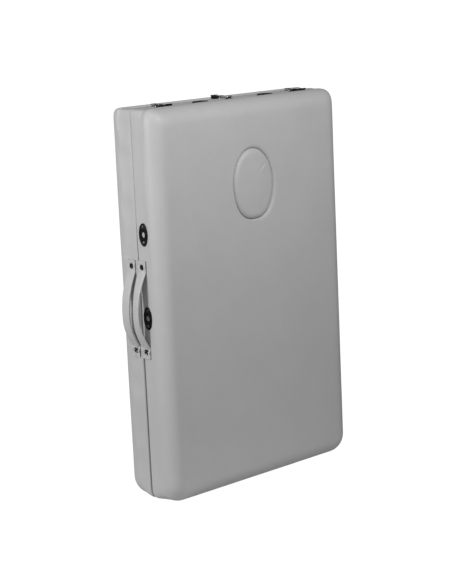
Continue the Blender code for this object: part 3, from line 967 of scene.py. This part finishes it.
def screw(name, spot, outward, across, radius, high, look, body):
    """A domed screw head with a cross recess, seated on a surface."""
    spot, outward, across = Vector(spot), Vector(outward), Vector(across)
    third = outward.cross(across)
    count = 40

    def ring(scale, height, crossed=False):
        points = []
        for k in range(count):
            a = 2 * math.pi * (k + 0.5) / count
            ca, sa = abs(math.cos(a)) + 1e-9, abs(math.sin(a)) + 1e-9
            reach_to = radius * scale
            if crossed:
                one = min(CROSS_ARM / ca, CROSS_SLOT / sa)
                other = min(CROSS_ARM / sa, CROSS_SLOT / ca)
                reach_to = radius * scale * max(one, other)
            flat = across * (reach_to * math.cos(a)) + third * (reach_to * math.sin(a))
            points.append(spot + flat + outward * height)
        return points

    rings = [ring(1.0, 0.0), ring(1.0, 0.25 * high), ring(0.93, 0.62 * high)]
    rings += [ring(0.78, 0.88 * high), ring(0.60, high)]
    rings += [ring(1.0, high, True), ring(0.86, 0.45 * high, True)]
    piece = circle_rings(name, rings, cap_first=True, cap_last=True, smooth=40)
    piece.data.materials.append(look)
    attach(piece, body)
    return piece


LEFTWARD = Vector((-1, 0, 0))
UPWARD = Vector((0, 0, 1))
ALONG_Y = Vector((0, 1, 0))
CUP = (
    (0.0064, 0.0072, 0.0000),
    (0.0064, 0.0072, 0.0012),
    (0.0060, 0.0068, 0.0018),
    (0.0053, 0.0060, 0.0018),
    (0.0038, 0.0042, 0.0006),
)
for half, node in (("front", "front_handle_strap"), ("rear", "rear_handle_strap")):
    low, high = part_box(node)
    y = (low.y + high.y) / 2
    lean, waist = (0.0005, 0.0090) if half == "front" else (-0.0005, 0.0020)
    body = half + "_half"
    piece = strap(half + "_strap", y, lean, waist)
    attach(piece, body)
    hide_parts(node)
    for end, sign in (("upper", 1), ("lower", -1)):
        spot = (MIDDLE_X - SKIN_X - STRAP_THICK * 0.30, y, STRAP_MIDDLE + sign * SCREW_REACH)
        cup = turned(f"{half}_{end}_cup_washer", spot, LEFTWARD, ALONG_Y, CUP, 32, True)
        cup.data.materials.append(black_steel)
        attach(cup, body)
        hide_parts(f"{half}_{end}_strap_screw")
        head = (spot[0] - 0.0008, spot[1], spot[2])
        screw(
            f"{half}_{end}_screw_head", head, LEFTWARD, ALONG_Y, 0.0034, 0.0012,
            black_steel, body,
        )

# -------------------------------------------------- armrest and cradle sockets
# Black moulded sockets let into the rails: oval ones on the long edges for the
# armrests, round ones on the head end for the face cradle, each with a bush.
black_plastic = surface(
    "black_plastic", "hard", (0.0035, 0.0035, 0.0038), 0.30, bump=0.2, depth=0.0001,
    worn=(0.010, 0.010, 0.011), speckle=1400.0, specular=0.16,
)
OVAL = (
    (0.0150, 0.0270, -0.0010),
    (0.0150, 0.0270, 0.0014),
    (0.0147, 0.0267, 0.0022),
    (0.0139, 0.0259, 0.0028),
    (0.0128, 0.0246, 0.0029),
    (0.0118, 0.0205, 0.0027),
    (0.0108, 0.0140, 0.0027),
    (0.0102, 0.0106, 0.0028),
    (0.0100, 0.0100, 0.0036),
    (0.0095, 0.0095, 0.0041),
    (0.0080, 0.0080, 0.0041),
    (0.0072, 0.0072, 0.0034),
    (0.0066, 0.0066, 0.0010),
    (0.0064, 0.0064, -0.0200),
    (0.0088, 0.0088, -0.0205),
    (0.0089, 0.0089, -0.0010),
)
ROUND = (
    (0.0190, 0.0190, -0.0008),
    (0.0190, 0.0190, 0.0024),
    (0.0186, 0.0186, 0.0034),
    (0.0176, 0.0176, 0.0040),
    (0.0100, 0.0100, 0.0038),
    (0.0078, 0.0078, 0.0034),
    (0.0070, 0.0070, 0.0024),
    (0.0066, 0.0066, 0.0005),
    (0.0064, 0.0064, -0.0200),
    (0.0088, 0.0088, -0.0205),
    (0.0090, 0.0090, -0.0008),
)
SOCKET_SINK = 0.0034
SOCKET_SCREW = 0.0182
BUSH = (
    (0.0064, 0.0064, -0.0072),
    (0.0052, 0.0052, -0.0068),
    (0.0040, 0.0040, -0.0074),
    (0.0039, 0.0039, -0.0190),
    (0.0064, 0.0064, -0.0190),
)


def close_ends(piece):
    """Turns a profile that comes back to its start into one closed skin."""
    bpy.ops.object.select_all(action="DESELECT")
    piece.select_set(True)
    bpy.context.view_layer.objects.active = piece
    bpy.ops.object.mode_set(mode="EDIT")
    body = bmesh.from_edit_mesh(piece.data)
    for face in list(body.faces):
        if len(face.verts) > 4:
            bmesh.ops.delete(body, geom=[face], context="FACES_ONLY")
    bmesh.update_edit_mesh(piece.data)
    bpy.ops.mesh.select_all(action="SELECT")
    bpy.ops.mesh.remove_doubles(threshold=0.00001)
    bpy.ops.mesh.normals_make_consistent(inside=False)
    bpy.ops.object.mode_set(mode="OBJECT")


def socket(node, spot, outward, across, profile):
    """One socket: black body and a steel bush in its bore."""
    rings = profile + (profile[0],)
    piece = turned(node + "_body", spot, outward, across, rings, 64)
    close_ends(piece)
    piece.data.materials.append(black_plastic)
    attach(piece, "front_half")
    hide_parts(node)
    bush = turned(node + "_bush", spot, outward, across, BUSH + (BUSH[0],), 40)
    close_ends(bush)
    bush.data.materials.append(bright_steel)
    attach(bush, "front_half")


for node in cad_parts:
    if not node.endswith("_socket"):
        continue
    low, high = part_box(node)
    y, z = (low.y + high.y) / 2, (low.z + high.z) / 2
    if "cradle" in node:
        spot = ((low.x + high.x) / 2, y, HEIGHT - SOCKET_SINK)
        socket(node, spot, UPWARD, ALONG_Y, ROUND)
        continue
    hand = -1 if "left" in node else 1
    spot = (MIDDLE_X + hand * (SKIN_X - 0.0002), y, z)
    outward = Vector((hand, 0, 0))
    socket(node, spot, outward, ALONG_Y, OVAL)
    for k in (-1, 1):
        at = (spot[0] + hand * 0.0024, y, z + k * SOCKET_SCREW)
        screw(
            f"{node}_screw_{'low' if k < 0 else 'high'}", at, outward, ALONG_Y,
            0.0036, 0.0012, burnished_steel, "front_half",
        )

# --------------------------------------------------------------- draw latches
# Three draw latches over the seam on the head end: a pressed base with a black
# lever, a bright wire bail, and a keeper on the other half; the middle one is
# turned round.
LATCH_FLOOR = HEIGHT - 0.0038


def bevelled_box(name, low, high, bevel):
    """A box with its edges rounded over."""
    low, high = Vector(low), Vector(high)
    bpy.ops.object.select_all(action="DESELECT")
    bpy.ops.mesh.primitive_cube_add(size=1, location=(low + high) / 2)
    piece = bpy.context.object
    piece.name = name
    piece.scale = high - low
    bpy.ops.object.transform_apply(location=True, scale=True)
    bpy.ops.object.mode_set(mode="EDIT")
    bpy.ops.mesh.select_all(action="SELECT")
    bpy.ops.mesh.bevel(offset=bevel, segments=2, affect="EDGES")
    bpy.ops.object.mode_set(mode="OBJECT")
    bpy.ops.object.shade_smooth_by_angle(angle=math.radians(35))
    return piece


def joined(name, pieces):
    """Several shapes of one pressing made one piece."""
    bpy.ops.object.select_all(action="DESELECT")
    for piece in pieces:
        piece.select_set(True)
    bpy.context.view_layer.objects.active = pieces[0]
    bpy.ops.object.join()
    bpy.context.object.name = name
    return bpy.context.object


def dressed(piece, look, body, slot, *nodes):
    """Gives a finished piece its material and its body; slot is not used."""
    piece.data.materials.clear()
    piece.data.materials.append(look)
    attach(piece, body)
    if nodes:
        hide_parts(*nodes)
    return piece


def wire(name, path, radius, sides=12):
    """A round wire along a list of points, with its ends closed."""
    rings = []
    normal = None
    for k, point in enumerate(path):
        ahead = path[min(k + 1, len(path) - 1)] - path[max(k - 1, 0)]
        ahead.normalize()
        if normal is None:
            normal = ahead.orthogonal().normalized()
        normal = (normal - ahead * normal.dot(ahead)).normalized()
        other = ahead.cross(normal)
        ring = []
        for j in range(sides):
            a = 2 * math.pi * j / sides
            ring.append(point + radius * (math.cos(a) * normal + math.sin(a) * other))
        rings.append(ring)
    return circle_rings(name, rings, cap_first=True, cap_last=True)


def arc(centre, start, stop, radius, steps=5):
    """Points round a corner in the plane of the head end."""
    points = []
    for k in range(steps + 1):
        a = math.radians(start + (stop - start) * k / steps)
        points.append(centre + Vector((radius * math.cos(a), radius * math.sin(a), 0)))
    return points


PIN = (
    (0.0017, 0.0017, 0.0000),
    (0.0019, 0.0019, 0.0004),
    (0.0012, 0.0012, 0.0006),
    (0.0012, 0.0012, 0.0250),
    (0.0019, 0.0019, 0.0252),
    (0.0017, 0.0017, 0.0256),
)
LEVER = (
    # along from the pin, underside, top, half width
    (-0.0012, -0.0008, 0.0003, 0.0078),
    (-0.0008, -0.0016, 0.0008, 0.0079),
    (0.0000, -0.0021, 0.0012, 0.0080),
    (0.0030, -0.0021, 0.0034, 0.0081),
    (0.0090, -0.0020, 0.0050, 0.0088),
    (0.0180, -0.0018, 0.0050, 0.0104),
    (0.0260, -0.0012, 0.0050, 0.0116),
    (0.0310, 0.0002, 0.0056, 0.0114),
    (0.0340, 0.0022, 0.0062, 0.0104),
    (0.0350, 0.0040, 0.0060, 0.0088),
)


LATCH_PIN = 0.009
PIN_HEIGHT = LATCH_FLOOR + 0.0035 - 0.0009
BAIL_ARM, BAIL_CORNER, BAIL_WIRE = 0.0092, 0.0022, 0.0012


def latch(where, x, side):
    """One draw latch at a place across the head end; side is the lever's half."""
    half, far = ("rear", "front") if side > 0 else ("front", "rear")
    pin_y = side * LATCH_PIN

    def slab(part, half_wide, reach, low, high, bevel, foot=LATCH_FLOOR):
        """A bevelled box; reach runs away from the seam on the lever's side."""
        y0, y1 = sorted(side * near for near in reach)
        corners = (x - half_wide, y0, foot + low), (x + half_wide, y1, foot + high)
        return bevelled_box(f"{where}_{part}", *corners, bevel)

    base = slab("plate", 0.0140, (0.0058, 0.0415), -0.0006, 0.0010, 0.0004)
    cheeks = []
    y0, y1 = sorted((side * 0.0060, side * 0.0195))
    for k in (-1, 1):
        x0, x1 = sorted((x + k * 0.0106, x + k * 0.0124))
        corners = (x0, y0, LATCH_FLOOR), (x1, y1, LATCH_FLOOR + 0.0062)
        cheeks.append(bevelled_box(f"{where}_cheek_{k}", *corners, 0.0007))
    base = joined(f"{where}_latch_base_body", [base, *cheeks])
    dressed(base, black_steel, half + "_half", "black_steel", where + "_latch_base")
    pin = turned(
        f"{where}_latch_pin", (x - 0.0128, pin_y, PIN_HEIGHT), Vector((1, 0, 0)), ALONG_Y,
        PIN, 20, True,
    )
    dressed(pin, bright_steel, half + "_half", "zinc_steel")

    rings = []
    for along, under, top, wide in LEVER:
        ring = []
        middle, tall = (under + top) / 2, (top - under) / 2
        for j in range(24):
            a = 2 * math.pi * j / 24
            ca, sa = math.cos(a), math.sin(a)
            across = x + wide * math.copysign(abs(ca) ** 0.3, ca)
            high = PIN_HEIGHT + middle + tall * math.copysign(abs(sa) ** 0.45, sa)
            ring.append(Vector((across, pin_y + side * along, high)))
        rings.append(ring)
    lever = circle_rings(f"{where}_latch_lever_body", rings, True, True, 50)
    dressed(lever, black_plastic, where + "_lever", "black_plastic", where + "_latch_lever")
    rib = slab("lever_rib", 0.0045, (0.0150, 0.0330), 0.0042, 0.0056, 0.0005, PIN_HEIGHT)
    dressed(rib, bright_steel, where + "_lever", "zinc_steel")

    hang = Vector((x, side * 0.0165, LATCH_FLOOR + 0.0054))
    arm, corner = BAIL_ARM, BAIL_CORNER
    far_y = -side * 0.0133
    path = [hang + Vector((-0.0060, 0, 0)), hang + Vector((-arm + corner, 0, 0))]
    near_left = Vector((x - arm + corner, hang.y - side * corner, hang.z))
    far_left = Vector((x - arm + corner, far_y + side * corner, hang.z))
    near_right = Vector((x + arm - corner, hang.y - side * corner, hang.z))
    far_right = Vector((x + arm - corner, far_y + side * corner, hang.z))
    quarter = 90 * side
    path += arc(near_left, quarter, 180 if side > 0 else -180, corner)[1:]
    path += arc(far_left, 180 * side, 270 * side, corner)
    path += arc(far_right, 270 * side, 360 * side, corner)
    path += arc(near_right, 0, quarter, corner)
    path += [hang + Vector((0.0060, 0, 0))]
    bail = wire(f"{where}_latch_bail_wire", path, BAIL_WIRE)
    dressed(bail, bright_steel, where + "_bail", "zinc_steel", where + "_latch_bail")

    plate = slab("keeper_plate", 0.0120, (-0.0240, -0.0045), -0.0006, 0.0010, 0.0004)
    post = slab("keeper_post", 0.0062, (-0.0119, -0.0088), 0.0, 0.0066, 0.0008)
    hook = slab("keeper_hook", 0.0062, (-0.0146, -0.0090), 0.0065, 0.0075, 0.0004)
    keeper = joined(f"{where}_latch_keeper_body", [plate, post, hook])
    dressed(keeper, black_steel, far + "_half", "black_steel", where + "_latch_keeper")
    for k, word in ((-1, "left"), (1, "right")):
        spot = (x + k * 0.0068, -side * 0.0195, LATCH_FLOOR + 0.0010)
        screw(
            f"{where}_keeper_screw_{word}", spot, UPWARD, ALONG_Y, 0.0024, 0.0010,
            bright_steel, far + "_half",
        )


for where in ("left", "middle", "right"):
    low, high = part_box(where + "_latch_lever")
    latch(where, (low.x + high.x) / 2, 1 if (low.y + high.y) > 0 else -1)

# ------------------------------------------------- timber, plywood and hardware
# Glued beech rails and battens, birch plywood decks, and the zinc plated and
# black parts that the halves fold and swing on.
beech = surface(
    "beech", "timber", (0.56, 0.38, 0.22), 0.48, bump=0.2, depth=0.0002,
    worn=(0.42, 0.26, 0.14), stretch=(1, 1, 0.09), coat=0.15,
)
birch_ply = surface(
    "birch_ply", "timber", (0.66, 0.52, 0.35), 0.55, bump=0.15, depth=0.0002,
    worn=(0.52, 0.38, 0.23), stretch=(0.35, 1, 0.12),
)
aluminium = surface(
    "aluminium_tube", "hard", (0.62, 0.63, 0.65), 0.32, metallic=1.0, bump=0.06,
    worn=(0.45, 0.46, 0.48), stretch=(1, 1, 0.05),
)
rubber = surface(
    "foot_rubber", "hard", (0.016, 0.016, 0.016), 0.78, bump=0.4, worn=(0.05, 0.05, 0.05)
)
LOOKS = (
    ("_foot", rubber),
    ("_frame", beech),
    ("_batten", beech),
    ("_deck", birch_ply),
    ("_board", birch_ply),
    ("hinge_leaf", black_steel),
    ("hinge_pin", bright_steel),
    ("_axle", bright_steel),
    ("_strut", aluminium),
    ("_slider", aluminium),
    ("_leg_frame", aluminium),
    ("_knob", black_plastic),
)
for node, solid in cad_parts.items():
    for ending, look in LOOKS:
        if node.endswith(ending):
            solid.data.materials.clear()
            solid.data.materials.append(look)
